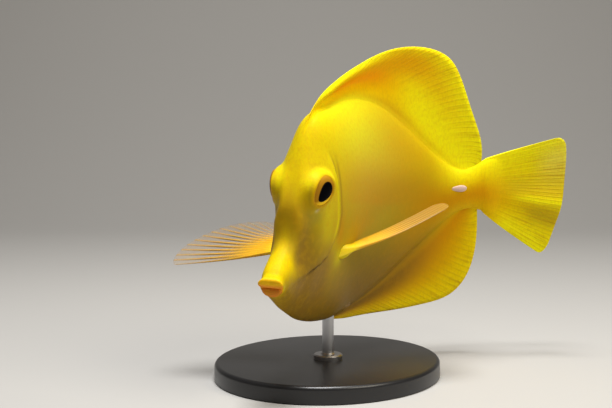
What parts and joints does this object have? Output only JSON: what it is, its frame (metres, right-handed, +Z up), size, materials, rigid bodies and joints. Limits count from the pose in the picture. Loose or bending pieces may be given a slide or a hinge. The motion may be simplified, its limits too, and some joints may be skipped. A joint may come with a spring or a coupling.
{
  "type": "yellow tang fish model on a display stand",
  "caption": "Life-size still model of a yellow tang with its tail swept to its left, fins spread, held on a flat oval base and rod.",
  "frame": {"origin": "centre of the stand base's underside, on the axis of the rod", "axes": "+Z up along the rod; -Y the way the fish's trunk heads; +X to the fish's left, the side its tail sweeps to"},
  "size_m": [0.1097, 0.1231, 0.1134],
  "materials": {
    "yellow_skin": "saturated lemon yellow skin with minute scales, a satin wet sheen, a little orange in the hollows",
    "fin_membrane": "thin yellow fin membrane between stiffer rays, partly clear",
    "lips": "soft orange-yellow lips, satin",
    "eyes": "black pupil in a narrow golden-brown iris under a clear wet cornea",
    "white_spine": "smooth white bony blade",
    "stand_base": "black satin paint with a bevelled edge",
    "stand_rod": "fine brushed steel"
  },
  "bodies": {
    "root": {"head": "yellow_skin", "trunk": "yellow_skin", "tail_base": "yellow_skin", "lip_upper": "lips", "lip_lower": "lips", "eye_left": "eyes", "eye_right": "eyes", "dorsal_fin": "yellow_skin", "anal_fin": "yellow_skin", "tail_fin": "yellow_skin", "pectoral_fin_left": "fin_membrane", "pectoral_fin_right": "fin_membrane", "pelvic_fin_left": "fin_membrane", "pelvic_fin_right": "fin_membrane", "tail_spine_left": "white_spine", "tail_spine_right": "white_spine", "stand_base": "stand_base", "stand_rod": "stand_rod"}
  },
  "joints": []
}
